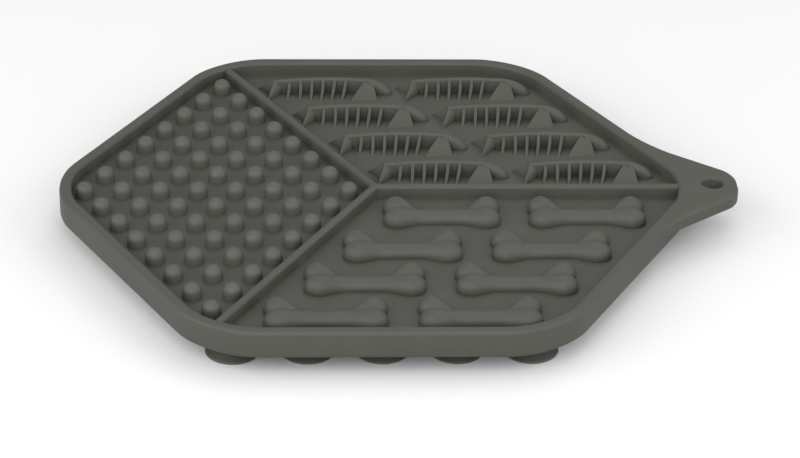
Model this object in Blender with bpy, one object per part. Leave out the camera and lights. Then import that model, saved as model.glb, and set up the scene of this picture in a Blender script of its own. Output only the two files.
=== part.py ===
"""A hexagonal silicone lick mat, moulded in one piece.

A shallow six-sided tray with a raised rim. Three low ribs part it into
three rhombic pockets: one of round-topped pegs, one of fish skeletons and
one of bones. A flat tab with a hanging hole grows out of one corner, and
the underside carries a grid of suction cups.

Metres, +Z up. The origin is at the middle of the mat's box, on the table.
+X points to the hanging tab, and the pockets open upwards.
"""
import math

import bmesh
import bpy
from mathutils import Matrix

MM = 0.001

# --- levels above the table
CUP_HEIGHT = 6.4 * MM          # the suction cups lift the tray this far
RIM_HEIGHT = 8.4 * MM          # outer wall of the tray
POCKET_DEPTH = 4.4 * MM        # from the top of the rim down to the floor
UNDERSIDE = CUP_HEIGHT
RIM_TOP = CUP_HEIGHT + RIM_HEIGHT
FLOOR = RIM_TOP - POCKET_DEPTH
ROOT = 1.0 * MM                # how far each raised form reaches into the floor

# --- the tray, a hexagon with corners on the X axis
ACROSS_FLATS = 172.6 * MM
CORNER_CUT = 15.4 * MM         # each corner's rounding starts this far from it
CORNER_STEPS = 6
RIM_WIDTH = 4.3 * MM
RIM_ROUND = 1.2 * MM           # rounding of both top edges of the rim
FOOT_ROUND = 0.8 * MM          # rounding of the wall's lower edge
APOTHEM = ACROSS_FLATS / 2
CORNER_REACH = APOTHEM / math.cos(math.radians(30))
ROUNDED_REACH = CORNER_REACH - CORNER_CUT * (1 - math.cos(math.radians(45)))

# --- the hanging tab, a thin plate level with the top of the rim
TAB_REACH = 109.7 * MM         # from the middle of the hexagon to the tab's end
TAB_END_HALF = 6.4 * MM        # half width at the end, before rounding
TAB_FLANK = math.radians(37.4)
TAB_END_RADIUS = 9.0 * MM
TAB_NECK_RADIUS = 48.0 * MM
TAB_THICKNESS = 4.0 * MM
TAB_TOP = RIM_TOP - 0.1 * MM    # a hair lower, so that no two faces coincide
TAB_ARC_STEPS = 5
TAB_GRIP = 3.0 * MM            # how far the plate reaches into the rim
TAB_INSIDE = 0.15 * MM         # its flank joins the wall this far inside it
HOLE_RADIUS = 3.4 * MM
HOLE_REACH = 102.7 * MM
HOLE_SIDES = 16

# The box of the whole mat is centred on the origin, so the hexagon is off it.
TRAY_X = (ROUNDED_REACH - TAB_REACH) / 2

# --- the ribs between the pockets
RIB_WIDTH = 2.6 * MM
RIB_DROP = 0.5 * MM            # the ribs stay this far below the rim
RIB_ROUND = 0.8 * MM
RIB_ANGLES = (0, 120, 240)

# --- pegs on a triangular grid, eight to a side of their rhombus
PEG_PITCH = 11.36 * MM
PEG_COUNT = 8
PEG_RADIUS = 2.6 * MM
PEG_HEIGHT = 4.6 * MM
PEG_SIDES = 7
PEG_FIRST_X = -87.65 * MM      # the leftmost peg, from the middle of the hexagon

# --- fish and bones lie in rows of two that follow the slant of their pocket
ROW_COUNT = 4
ROW_SHIFT = 11.4 * MM
ROWS_MIDDLE_Y = 42.2 * MM

# --- one bone: two lobes side by side with a crease between them
BONE_FIRST_X = 19.4 * MM       # middle of the bone next to the centre
BONE_COLUMN_PITCH = 43.4 * MM
BONE_ROW_PITCH = 19.3 * MM
BONE_HALF_LENGTH = 17.3 * MM
BONE_KNOB_X = 13.5 * MM
BONE_KNOB_RADIUS = 3.8 * MM
BONE_SHAFT_RADIUS = 2.85 * MM
BONE_KNOB_Y = 3.4 * MM
BONE_SHAFT_Y = 0.8 * MM
BONE_KNOB_Z = 0.8 * MM         # height of the lobes' centre line over the floor
BONE_SHAFT_Z = -0.1 * MM
BONE_SHAFT_END = 5.0 * MM      # where the shaft starts to widen

# --- one fish skeleton, from the nose at x = 0 back to the tail
FISH_NOSE_X = 51.6 * MM        # nose of the first fish of the right column
FISH_COLUMN_PITCH = 44.6 * MM
FISH_ROW_PITCH = 19.0 * MM
FISH_HEIGHT = 4.5 * MM
FISH_SPINE_HALF = 0.55 * MM
FISH_SPINE_BACK = 38.0 * MM
FISH_HEAD_BACK = 7.8 * MM
FISH_TAIL_DROP = 0.7 * MM
FISH_NOSE_HALF = 1.9 * MM
FISH_RIB_PITCH = 3.69 * MM
FISH_RIB_BACK = 14.5 * MM      # the foremost rib
FISH_RIB_HALF_THICKNESS = 0.42 * MM
FISH_RIB_KNEE = 0.62            # where the rib's arch is drawn, as a share of its reach
FISH_RIB_TIP = 0.15 * MM
FISH_RIB_REACHES = (6.9, 7.3, 7.4, 6.7, 6.0, 5.2)   # millimetres, head to tail
FISH_GILL_REACH = 7.0 * MM
FISH_GILL_BACK = (0.6 * MM, 4.8 * MM)      # its rear face at the spine and at the floor
FISH_GILL_FRONT = (1.6 * MM, 3.4 * MM)     # its front face at the spine and at the floor
FISH_TAIL_REACH = 7.4 * MM
FISH_TAIL_BACK = (0.3 * MM, 2.5 * MM)
FISH_TAIL_FRONT = (2.4 * MM, -1.8 * MM)

# --- suction cups on a triangular grid, five to a side of a hexagon
CUP_PITCH = 20.85 * MM
CUP_RINGS = 4
CUP_LIP_RADIUS = 7.25 * MM
CUP_LIP_WIDTH = 1.2 * MM
CUP_NECK_RADIUS = 3.4 * MM
CUP_HOLLOW = 2.6 * MM
CUP_SIDES = 6


def new_object(name, bm, collection):
    """Turn a bmesh into an object of the collection, with its faces outwards."""
    bmesh.ops.recalc_face_normals(bm, faces=bm.faces)
    mesh = bpy.data.meshes.new(name)
    bm.to_mesh(mesh)
    bm.free()
    piece = bpy.data.objects.new(name, mesh)
    collection.objects.link(piece)
    return piece


def hide_form(piece):
    """A form that is joined to the mat or cut from it is not a piece itself."""
    piece.hide_render = True
    piece.display_type = 'WIRE'


def loop_edges(bm, level):
    """The edges that lie flat at a level."""
    return [e for e in bm.edges if all(abs(v.co.z - level) < 0.01 * MM for v in e.verts)]


def round_edges(bm, edges, radius, steps):
    bmesh.ops.bevel(bm, geom=edges, offset=radius, offset_type='OFFSET', segments=steps,
                    profile=0.5, affect='EDGES', material=-1, clamp_overlap=True)


def make_tray(collection):
    """The hexagonal dish: a rounded hexagon drawn up, its top inset and sunk."""
    bm = bmesh.new()
    turn = Matrix.Rotation(math.radians(30), 4, 'Z')
    bmesh.ops.create_circle(bm, cap_ends=True, segments=6, radius=CORNER_REACH, matrix=turn)
    bmesh.ops.bevel(bm, geom=bm.verts[:], offset=CORNER_CUT, offset_type='OFFSET',
                    segments=CORNER_STEPS, profile=0.5, affect='VERTICES', material=-1)
    bmesh.ops.translate(bm, verts=bm.verts, vec=(0, 0, UNDERSIDE))
    raised = bmesh.ops.extrude_face_region(bm, geom=bm.faces[:])['geom']
    top_verts = [g for g in raised if isinstance(g, bmesh.types.BMVert)]
    bmesh.ops.translate(bm, verts=top_verts, vec=(0, 0, RIM_HEIGHT))
    top = [f for f in bm.faces if f.calc_center_median().z > RIM_TOP - 0.1 * MM]
    bmesh.ops.inset_region(bm, faces=top, thickness=RIM_WIDTH, use_even_offset=True)
    sunk = bmesh.ops.extrude_face_region(bm, geom=top)['geom']
    floor_verts = [g for g in sunk if isinstance(g, bmesh.types.BMVert)]
    bmesh.ops.translate(bm, verts=floor_verts, vec=(0, 0, -POCKET_DEPTH))
    stale = [f for f in top if f.is_valid]
    bmesh.ops.delete(bm, geom=stale, context='FACES_ONLY')
    bmesh.ops.recalc_face_normals(bm, faces=bm.faces)
    rim_edges = [e for e in loop_edges(bm, RIM_TOP) if len({f.normal.z > 0.9 for f in e.link_faces}) == 2]
    round_edges(bm, rim_edges, RIM_ROUND, 2)
    round_edges(bm, loop_edges(bm, UNDERSIDE), FOOT_ROUND, 1)
    bmesh.ops.translate(bm, verts=bm.verts, vec=(TRAY_X, 0, 0))
    return new_object("lick_mat", bm, collection)


def fillet(corner, before, after, radius, steps):
    """Points of an arc that rounds a corner between two neighbours."""
    cx, cy = corner
    to_before = math.atan2(before[1] - cy, before[0] - cx)
    to_after = math.atan2(after[1] - cy, after[0] - cx)
    opening = (to_after - to_before + math.pi) % (2 * math.pi) - math.pi
    half = abs(opening) / 2
    bisector = to_before + opening / 2
    middle = (cx + radius / math.sin(half) * math.cos(bisector),
              cy + radius / math.sin(half) * math.sin(bisector))
    start = to_before - math.copysign(math.pi / 2, opening)
    sweep = math.copysign(math.pi - 2 * half, -opening)
    points = []
    for step in range(steps + 1):
        angle = start + sweep * step / steps
        points.append((middle[0] + radius * math.cos(angle), middle[1] + radius * math.sin(angle)))
    return points


def tab_outline():
    """Half of the tab's outline, from its end along the flank and back inside the rim."""
    # The flank meets the side of the hexagon, which falls at 60 degrees, a hair inside it.
    inside = TAB_INSIDE
    slope = math.tan(TAB_FLANK)
    side = math.tan(math.radians(60))
    neck_x = (side * (CORNER_REACH - inside) - TAB_END_HALF - slope * TAB_REACH) / (side - slope)
    neck = (neck_x, side * (CORNER_REACH - inside - neck_x))
    end = (TAB_REACH, TAB_END_HALF)
    back = (neck_x - 12 * MM, neck[1] + 12 * MM * side)
    points = fillet(end, (TAB_REACH, 0), neck, TAB_END_RADIUS, TAB_ARC_STEPS)
    points += fillet(neck, end, back, TAB_NECK_RADIUS, TAB_ARC_STEPS)
    # The plate ends inside the rim, clear of the pockets.
    inward = TAB_GRIP
    points.append((points[-1][0] - inward * math.cos(math.radians(30)),
                   points[-1][1] - inward * math.sin(math.radians(30))))
    corner_radius = CORNER_CUT / math.tan(math.radians(30))
    arc_middle = CORNER_REACH - corner_radius / math.cos(math.radians(30))
    arc_radius = corner_radius - inward
    for angle in (30, 20, 10):
        lean = math.radians(angle)
        points.append((arc_middle + arc_radius * math.cos(lean), arc_radius * math.sin(lean)))
    return points


def make_tab(collection):
    """A flat plate on the outline, with rounded edges."""
    half = tab_outline()
    inner_end = [(ROUNDED_REACH - TAB_GRIP, 0)]
    whole = half + inner_end + [(x, -y) for x, y in reversed(half)]
    curve = bpy.data.curves.new("tab_outline", 'CURVE')
    curve.dimensions = '2D'
    curve.fill_mode = 'BOTH'
    curve.extrude = TAB_THICKNESS / 2
    spline = curve.splines.new('POLY')
    spline.points.add(len(whole) - 1)
    for point, (x, y) in zip(spline.points, whole):
        point.co = (x, y, 0, 1)
    spline.use_cyclic_u = True
    drawn = bpy.data.objects.new("tab_outline", curve)
    collection.objects.link(drawn)
    bpy.context.view_layer.update()
    flat = bpy.data.meshes.new_from_object(drawn.evaluated_get(bpy.context.evaluated_depsgraph_get()))
    bpy.data.objects.remove(drawn)
    bm = bmesh.new()
    bm.from_mesh(flat)
    bmesh.ops.remove_doubles(bm, verts=bm.verts, dist=0.01 * MM)
    flat_faces = [f for f in bm.faces if abs(f.normal.z) > 0.9]
    bmesh.ops.dissolve_faces(bm, faces=[f for f in flat_faces if f.normal.z > 0])
    bmesh.ops.dissolve_faces(bm, faces=[f for f in bm.faces if f.normal.z < -0.9])
    bmesh.ops.recalc_face_normals(bm, faces=bm.faces)
    for level, radius, steps in ((TAB_THICKNESS / 2, RIM_ROUND, 2), (-TAB_THICKNESS / 2, FOOT_ROUND, 1)):
        round_edges(bm, loop_edges(bm, level), radius, steps)
    bmesh.ops.translate(bm, verts=bm.verts, vec=(TRAY_X, 0, TAB_TOP - TAB_THICKNESS / 2))
    return new_object("tab_form", bm, collection)


def make_hole(collection):
    """The cutter of the hanging hole."""
    bm = bmesh.new()
    place = Matrix.Translation((TRAY_X + HOLE_REACH, 0, TAB_TOP - TAB_THICKNESS / 2))
    bmesh.ops.create_cone(bm, cap_ends=True, segments=HOLE_SIDES, radius1=HOLE_RADIUS,
                          radius2=HOLE_RADIUS, depth=2 * TAB_THICKNESS, matrix=place)
    return new_object("hole_cutter", bm, collection)


def make_rib(angle, collection):
    """A bar from the middle to a corner, with a rounded top."""
    bm = bmesh.new()
    bmesh.ops.create_cube(bm, size=1)
    start = -0.15 * RIB_WIDTH
    end = ROUNDED_REACH - RIM_WIDTH / 2
    height = POCKET_DEPTH - RIB_DROP + ROOT
    bmesh.ops.scale(bm, verts=bm.verts, vec=(end - start, RIB_WIDTH, height))
    bmesh.ops.translate(bm, verts=bm.verts, vec=((start + end) / 2, 0, height / 2 - ROOT))
    crest = [e for e in loop_edges(bm, POCKET_DEPTH - RIB_DROP) if abs(e.verts[0].co.y - e.verts[1].co.y) < MM / 10]
    round_edges(bm, crest, RIB_ROUND, 2)
    bmesh.ops.rotate(bm, verts=bm.verts, matrix=Matrix.Rotation(math.radians(angle), 3, 'Z'))
    bmesh.ops.translate(bm, verts=bm.verts, vec=(TRAY_X, 0, FLOOR))
    return new_object(f"rib_form_{angle:03d}", bm, collection)


def turned(profile, sides):
    """Spin a profile of (radius, height) points about Z into a closed solid."""
    bm = bmesh.new()
    verts = [bm.verts.new((radius, 0, height)) for radius, height in profile]
    edges = [bm.edges.new(pair) for pair in zip(verts, verts[1:])]
    bmesh.ops.spin(bm, geom=verts + edges, cent=(0, 0, 0), axis=(0, 0, 1), angle=2 * math.pi,
                   steps=sides, use_merge=True)
    bmesh.ops.remove_doubles(bm, verts=bm.verts, dist=0.001 * MM)
    return bm


def make_peg(i, j, collection):
    """A round-topped peg, a cylinder that ends in half a sphere."""
    lean = math.radians(45)
    shoulder = PEG_HEIGHT - PEG_RADIUS
    bm = turned([(0, PEG_HEIGHT),
                 (PEG_RADIUS * math.sin(lean), shoulder + PEG_RADIUS * math.cos(lean)),
                 (PEG_RADIUS, shoulder),
                 (PEG_RADIUS, -ROOT),
                 (0, -ROOT)], PEG_SIDES)
    x = TRAY_X + PEG_FIRST_X + (i + j) * PEG_PITCH / 2
    y = (i - j) * PEG_PITCH * math.sin(math.radians(60))
    bmesh.ops.translate(bm, verts=bm.verts, vec=(x, y, FLOOR))
    return new_object(f"peg_form_{i}{j}", bm, collection)


def smooth_step(value):
    value = min(max(value, 0), 1)
    return value * value * (3 - 2 * value)


def lobe_section(x):
    """Radius, sideways offset and height of a bone's lobe at a distance along the bone."""
    along = abs(x)
    spread = smooth_step((along - BONE_SHAFT_END) / (BONE_KNOB_X - BONE_SHAFT_END))
    radius = BONE_SHAFT_RADIUS + (BONE_KNOB_RADIUS - BONE_SHAFT_RADIUS) * spread
    offset = BONE_SHAFT_Y + (BONE_KNOB_Y - BONE_SHAFT_Y) * spread
    axis = BONE_SHAFT_Z + (BONE_KNOB_Z - BONE_SHAFT_Z) * spread
    past = along - BONE_KNOB_X
    if past > 0:
        radius *= math.sqrt(max(0, 1 - (past / (BONE_HALF_LENGTH - BONE_KNOB_X)) ** 2))
    return radius, offset, axis


def make_lobe(name, x, y, side, collection):
    """One lobe of a bone: a ball drawn out along X and shaped by its section."""
    bm = bmesh.new()
    along_x = Matrix.Rotation(math.radians(90), 4, 'Y')
    bmesh.ops.create_uvsphere(bm, u_segments=6, v_segments=8, radius=1, matrix=along_x)
    for vert in bm.verts:
        station = vert.co.x * BONE_HALF_LENGTH
        radius, offset, axis = lobe_section(station)
        ring = math.hypot(vert.co.y, vert.co.z)
        across, up = (vert.co.y / ring, vert.co.z / ring) if ring > 0.001 else (0, 0)
        vert.co.x = station
        vert.co.y = side * offset + across * radius
        vert.co.z = axis + up * radius if up > -0.1 else -ROOT
    bmesh.ops.translate(bm, verts=bm.verts, vec=(x, y, FLOOR))
    return new_object(name, bm, collection)


def make_bone(column, row, collection):
    x = TRAY_X + BONE_FIRST_X + column * BONE_COLUMN_PITCH - row * ROW_SHIFT
    y = -ROWS_MIDDLE_Y + ((ROW_COUNT - 1) / 2 - row) * BONE_ROW_PITCH
    return [make_lobe(f"bone_form_{column}{row}_{name}", x, y, side, collection)
            for name, side in (("front", -1), ("rear", 1))]


def make_fish_rib(name, x, y, reach, height, collection):
    """A thin blade across the spine: an arched outline, drawn out in X and swept back."""
    shares = (-1, -FISH_RIB_KNEE, 0, FISH_RIB_KNEE, 1)
    bm = bmesh.new()
    outline = [(-reach, -ROOT)]
    outline += [(share * reach, arch(share) * height + FISH_RIB_TIP) for share in shares]
    outline += [(reach, -ROOT)]
    verts = [bm.verts.new((-FISH_RIB_HALF_THICKNESS, across, height)) for across, height in outline]
    bm.faces.new(verts)
    drawn = bmesh.ops.extrude_face_region(bm, geom=bm.faces[:])['geom']
    moved = [g for g in drawn if isinstance(g, bmesh.types.BMVert)]
    bmesh.ops.translate(bm, verts=moved, vec=(2 * FISH_RIB_HALF_THICKNESS, 0, 0))
    bmesh.ops.translate(bm, verts=bm.verts, vec=(x, y, FLOOR))
    return new_object(name, bm, collection)


def make_blade(name, x, y, reach, back, front, height, collection):
    """An arched blade across the spine, a bar whose top falls from the spine to the floor.

    back and front say how far its two faces lie behind and before x, each at
    the spine and at the blade's ends.
    """
    bm = bmesh.new()
    bmesh.ops.create_cube(bm, size=2)
    across = [e for e in bm.edges if abs(e.verts[0].co.y - e.verts[1].co.y) > 1]
    bmesh.ops.subdivide_edges(bm, edges=across, cuts=3, use_grid_fill=True)
    for vert in bm.verts:
        share = abs(vert.co.y) ** 0.7
        vert.co.y = math.copysign(share * reach, vert.co.y)
        vert.co.z = height * arch(share) + FISH_RIB_TIP if vert.co.z > 0 else -ROOT
        if vert.co.x > 0:
            vert.co.x = front[0] + (front[1] - front[0]) * share
        else:
            vert.co.x = -back[0] - (back[1] - back[0]) * share
    bmesh.ops.translate(bm, verts=bm.verts, vec=(x, y, FLOOR))
    return new_object(name, bm, collection)


def arch(share):
    """Height of an arch that falls from 1 at the middle to 0 at its ends."""
    return 1 - abs(share) ** 2.2


def spine_top(back):
    """Height of the spine at a distance behind the nose: a slight arch."""
    share = (back - FISH_HEAD_BACK) / (FISH_SPINE_BACK - FISH_HEAD_BACK)
    return FISH_HEIGHT - FISH_TAIL_DROP * (share - 0.35) ** 2 / 0.65 ** 2


def make_ridge(name, x, y, profile, half, collection):
    """A plate along the fish: a profile of (back, height) points, drawn out both ways in Y."""
    bm = bmesh.new()
    verts = [bm.verts.new((-back, -half, height)) for back, height in profile]
    bm.faces.new(verts)
    drawn = bmesh.ops.extrude_face_region(bm, geom=bm.faces[:])['geom']
    moved = [g for g in drawn if isinstance(g, bmesh.types.BMVert)]
    bmesh.ops.translate(bm, verts=moved, vec=(0, 2 * half, 0))
    bmesh.ops.translate(bm, verts=bm.verts, vec=(x, y, FLOOR))
    return new_object(name, bm, collection)


def make_fish(column, row, collection):
    """Spine, nose, gill plates, six pairs of ribs and a tail fin."""
    x = TRAY_X + FISH_NOSE_X + (column - 1) * FISH_COLUMN_PITCH + row * ROW_SHIFT
    y = ROWS_MIDDLE_Y + ((ROW_COUNT - 1) / 2 - row) * FISH_ROW_PITCH
    name = f"fish_form_{column}{row}"
    spine_backs = (FISH_HEAD_BACK, 18 * MM, 28 * MM, FISH_SPINE_BACK)
    spine = [(back, spine_top(back)) for back in spine_backs]
    spine += [(FISH_SPINE_BACK, -ROOT), (FISH_HEAD_BACK, -ROOT)]
    make_ridge(name + "_spine", x, y, spine, FISH_SPINE_HALF, collection)
    nose = [(0, -ROOT), (0, 0.2 * MM)]
    for step in (1, 2, 3):
        angle = math.radians(30 * step)
        nose.append((FISH_HEAD_BACK * (1 - math.cos(angle)), spine_top(FISH_HEAD_BACK) * math.sin(angle)))
    nose += [(FISH_HEAD_BACK + 2 * MM, spine_top(FISH_HEAD_BACK)), (FISH_HEAD_BACK + 2 * MM, -ROOT)]
    make_ridge(name + "_nose", x, y, nose, FISH_NOSE_HALF, collection)
    for rib, reach in enumerate(FISH_RIB_REACHES):
        back = FISH_RIB_BACK + rib * FISH_RIB_PITCH
        make_fish_rib(f"{name}_rib_{rib}", x - back, y, reach * MM, spine_top(back) - 0.2 * MM, collection)
    make_blade(name + "_gill", x - FISH_HEAD_BACK, y, FISH_GILL_REACH, FISH_GILL_BACK, FISH_GILL_FRONT,
               spine_top(FISH_HEAD_BACK) - 0.1 * MM, collection)
    make_blade(name + "_tail", x - FISH_SPINE_BACK, y, FISH_TAIL_REACH, FISH_TAIL_BACK, FISH_TAIL_FRONT,
               spine_top(FISH_SPINE_BACK) - 0.2 * MM, collection)


def make_cup(x, y, collection):
    """A suction cup: a cone that widens to a flat lip, hollow below."""
    bm = turned([(0, CUP_HEIGHT + ROOT),
                 (CUP_NECK_RADIUS, CUP_HEIGHT + ROOT),
                 (CUP_LIP_RADIUS, 0),
                 (CUP_LIP_RADIUS - CUP_LIP_WIDTH, 0),
                 (0, CUP_HOLLOW)], CUP_SIDES)
    bmesh.ops.translate(bm, verts=bm.verts, vec=(TRAY_X + x, y, 0))
    return new_object("cup_form", bm, collection)


def make_cups(collection):
    """A hexagonal patch of the triangular grid, row by row."""
    for row in range(-CUP_RINGS, CUP_RINGS + 1):
        count = 2 * CUP_RINGS + 1 - abs(row)
        for place in range(count):
            x = (place - (count - 1) / 2) * CUP_PITCH
            make_cup(x, row * CUP_PITCH * math.sin(math.radians(60)), collection)


def silicone():
    """Matte olive-grey silicone rubber."""
    material = bpy.data.materials.new("silicone_olive_grey")
    material.use_nodes = True
    shader = material.node_tree.nodes["Principled BSDF"]
    shader.inputs["Base Color"].default_value = (0.105, 0.108, 0.088, 1)
    shader.inputs["Roughness"].default_value = 0.62
    shader.inputs["Metallic"].default_value = 0
    return material


def join_forms(mat, forms, cutter):
    """Melt the forms into the tray, then cut the hanging hole."""
    joined = mat.modifiers.new("join_forms", 'BOOLEAN')
    joined.operation = 'UNION'
    joined.operand_type = 'COLLECTION'
    joined.collection = forms
    joined.solver = 'EXACT'
    cut = mat.modifiers.new("cut_hole", 'BOOLEAN')
    cut.operation = 'DIFFERENCE'
    cut.object = cutter
    cut.solver = 'EXACT'


def main():
    for old in list(bpy.data.objects):
        bpy.data.objects.remove(old)
    parts = bpy.data.collections.new("lick_mat")
    forms = bpy.data.collections.new("forms")
    cutters = bpy.data.collections.new("cutters")
    for collection in (parts, forms, cutters):
        bpy.context.scene.collection.children.link(collection)
    mat = make_tray(parts)
    mat.data.materials.append(silicone())
    make_tab(forms)
    for angle in RIB_ANGLES:
        make_rib(angle, forms)
    for i in range(PEG_COUNT):
        for j in range(PEG_COUNT):
            make_peg(i, j, forms)
    for column in (0, 1):
        for row in range(ROW_COUNT):
            make_bone(column, row, forms)
            make_fish(column, row, forms)
    make_cups(forms)
    cutter = make_hole(cutters)
    for piece in list(forms.objects) + [cutter]:
        hide_form(piece)
    join_forms(mat, forms, cutter)
    mat.data.shade_smooth()
    mat.data.set_sharp_from_angle(angle=math.radians(35))
    print("forms joined:", len(forms.objects))


main()
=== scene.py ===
# %% [markdown]
# # A hexagonal silicone lick mat
#
# A lick mat is a shallow tray of soft silicone rubber. Wet food is spread
# over its small raised shapes, and a dog or a cat licks it out slowly. This
# one has six sides and three pockets: one of round pegs, one of fish
# skeletons and one of bones. A flat tab with a hole lets it hang to dry.
#
# The imported solid comes in first. It fixes the frame that everything else
# is fitted to.

import math

import bmesh
import bpy
from mathutils import Matrix, Vector


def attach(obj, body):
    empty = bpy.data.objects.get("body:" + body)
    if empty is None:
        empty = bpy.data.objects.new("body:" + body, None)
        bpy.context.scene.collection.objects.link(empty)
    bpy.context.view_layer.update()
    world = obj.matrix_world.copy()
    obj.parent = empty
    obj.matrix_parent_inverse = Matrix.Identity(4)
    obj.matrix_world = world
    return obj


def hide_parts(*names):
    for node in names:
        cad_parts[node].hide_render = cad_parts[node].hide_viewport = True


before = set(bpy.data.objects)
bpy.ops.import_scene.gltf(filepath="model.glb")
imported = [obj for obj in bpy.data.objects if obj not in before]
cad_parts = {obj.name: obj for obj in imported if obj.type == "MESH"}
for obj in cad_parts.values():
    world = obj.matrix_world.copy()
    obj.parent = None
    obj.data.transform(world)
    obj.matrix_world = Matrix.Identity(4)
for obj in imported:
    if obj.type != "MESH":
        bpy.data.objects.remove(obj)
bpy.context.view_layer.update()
MM = 0.001
print("packed solids:", len(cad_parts))

# %% [markdown]
# ## The camera
#
# The mat is seen from a little above its front side, from far away and
# through a long lens, so its parallel sides stay nearly parallel. A camera
# looks along its own -Z axis. Its matrix is built from three turns around
# the point that it looks at: the azimuth, the elevation and a slight roll.

# %% Camera
CAMERA_AZIMUTH = math.radians(-2.53)
CAMERA_ELEVATION = math.radians(29.33)
CAMERA_ROLL = math.radians(1.17)
CAMERA_AIM = Vector((-0.785, -24.09, 12.4)) * MM
CAMERA_DISTANCE = 826.5 * MM
LENS_LENGTH = 126.17
SENSOR_WIDTH = 36
CLIP_START = 10 * MM


def camera_matrix():
    """Azimuth about Z, then the tilt from straight down, then the roll."""
    turn = (Matrix.Rotation(CAMERA_AZIMUTH, 4, 'Z')
            @ Matrix.Rotation(math.radians(90) - CAMERA_ELEVATION, 4, 'X')
            @ Matrix.Rotation(CAMERA_ROLL, 4, 'Z'))
    return Matrix.Translation(CAMERA_AIM) @ turn @ Matrix.Translation((0, 0, CAMERA_DISTANCE))


lens = bpy.data.cameras.new("camera")
lens.lens = LENS_LENGTH
lens.sensor_width = SENSOR_WIDTH
lens.clip_start = CLIP_START
camera = bpy.data.objects.new("camera", lens)
camera.matrix_world = camera_matrix()
bpy.context.scene.collection.objects.link(camera)
bpy.context.scene.camera = camera
print("camera at, mm:", [round(v / MM) for v in camera.matrix_world.translation])

# %% [markdown]
# ## A helper for finished pieces
#
# Each piece is drawn in a bmesh, an editable mesh in memory. When it is
# done, its double points are merged, its faces are turned outwards, and it
# becomes an object at the origin that rides on the mat's only body.

# %% Finish a piece
MERGE = 0.002 * MM


def finish_piece(name, bm, sharp=40):
    """Make a bmesh a piece; edges that turn more than the angle in degrees are shaded crisp."""
    bmesh.ops.remove_doubles(bm, verts=bm.verts, dist=MERGE)
    bmesh.ops.recalc_face_normals(bm, faces=bm.faces)
    mesh = bpy.data.meshes.new(name)
    bm.to_mesh(mesh)
    bm.free()
    mesh.shade_smooth()
    mesh.set_sharp_from_angle(angle=math.radians(sharp))
    piece = bpy.data.objects.new(name, mesh)
    bpy.context.scene.collection.objects.link(piece)
    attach(piece, "root")
    print(name, "faces:", len(mesh.polygons))
    return piece


# %% [markdown]
# ## Levels and sizes of the tray
#
# All heights are counted from the table. The suction cups lift the tray,
# its wall rises to the rim, and the pockets are sunk from there. The raised
# shapes are pieces of their own, so each reaches under the floor by a hair
# and leaves no gap. The middle of the hexagon lies left of the origin,
# because the tab sticks out on the right and the frame is centred on the
# whole mat.
#
# The bevel that rounds a corner takes a quarter circle and shears it into
# the corner. That leaves a corner of 120 degrees short by the cut times
# one minus the cosine of 45 degrees.

# %% Levels and sizes
CUP_HEIGHT = 6.4 * MM
WALL_HEIGHT = 8.4 * MM
POCKET_DEPTH = 4.4 * MM
RIM_TOP = CUP_HEIGHT + WALL_HEIGHT
FLOOR = RIM_TOP - POCKET_DEPTH
ROOT = 0.3 * MM
APOTHEM = 86.3 * MM
CORNER_CUT = 15.4 * MM
RIM_WIDTH = 3.7 * MM
TAB_REACH = 109.7 * MM
TAB_THICKNESS = 4.1 * MM
CORNER_REACH = APOTHEM / math.cos(math.radians(30))
ROUNDED_REACH = CORNER_REACH - CORNER_CUT * (1 - math.cos(math.radians(45)))
MIDDLE_X = (ROUNDED_REACH - TAB_REACH) / 2
print("middle of the hexagon at x, mm:", round(MIDDLE_X / MM, 2))

# %% [markdown]
# ## Rounding by insets
#
# The rounded edge of a moulded rim is a quarter circle. One way to make it
# is a bevel. Here one face is inset again and again instead, a little
# further in and a little higher each time, so that every ring of faces
# follows the outline evenly, also around the tab. The same steps, taken
# downwards, sink the pockets.

# %% Inset helpers
def quarter_turns(steps):
    """Angles from 0 to a quarter turn."""
    return [math.radians(90) * step / steps for step in range(steps + 1)]


def quarter(radius, steps, level_first=False):
    """Moves (inwards, along) round a quarter circle, from upright to level or the other way."""
    points = [(radius * (1 - math.cos(a)), radius * math.sin(a)) for a in quarter_turns(steps)]
    if level_first:
        points = [(along, inwards) for inwards, along in points]
    return [(b[0] - a[0], b[1] - a[1]) for a, b in zip(points, points[1:])]


def inset_by(bm, face, moves, way=1):
    """Inset a face in several steps, each of which also lifts it; way -1 sinks it."""
    for inwards, along in moves:
        bmesh.ops.inset_region(bm, faces=[face], thickness=inwards, depth=way * along,
                               use_even_offset=True, use_boundary=True)


def draw_out(bm, face, height):
    """Draw a face straight up or down, with a wall all round, and return its new face."""
    moved = bmesh.ops.extrude_discrete_faces(bm, faces=[face])['faces'][0]
    bmesh.ops.translate(bm, verts=moved.verts, vec=(0, 0, height))
    return moved


print("quarter of 1 mm:", [(round(a / MM, 2), round(b / MM, 2)) for a, b in quarter(MM, 3)])

# %% [markdown]
# ## Outlines of the tray and the tab
#
# Both outlines start as a few straight corners. A bevel that acts on the
# vertices rounds each corner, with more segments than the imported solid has.
# The tray is a hexagon. The upper part of its wall carries the tab, so its
# outline leaves the hexagon in a wide curve and comes to a rounded end.

# %% Outlines
CORNER_STEPS = 20
SIDE_SLOPE = math.tan(math.radians(60))
TAB_SLOPE = math.tan(math.radians(37.4))
TAB_END_HALF = 6.4 * MM
TAB_NECK_CUT = 9.6 * MM
TAB_NECK_STEPS = 14
TAB_END_CUT = 4.5 * MM
TAB_END_STEPS = 12


def round_corners(bm, verts, cut, steps):
    bmesh.ops.bevel(bm, geom=verts, offset=cut, offset_type='OFFSET', segments=steps,
                    profile=0.5, affect='VERTICES', material=-1)


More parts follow.
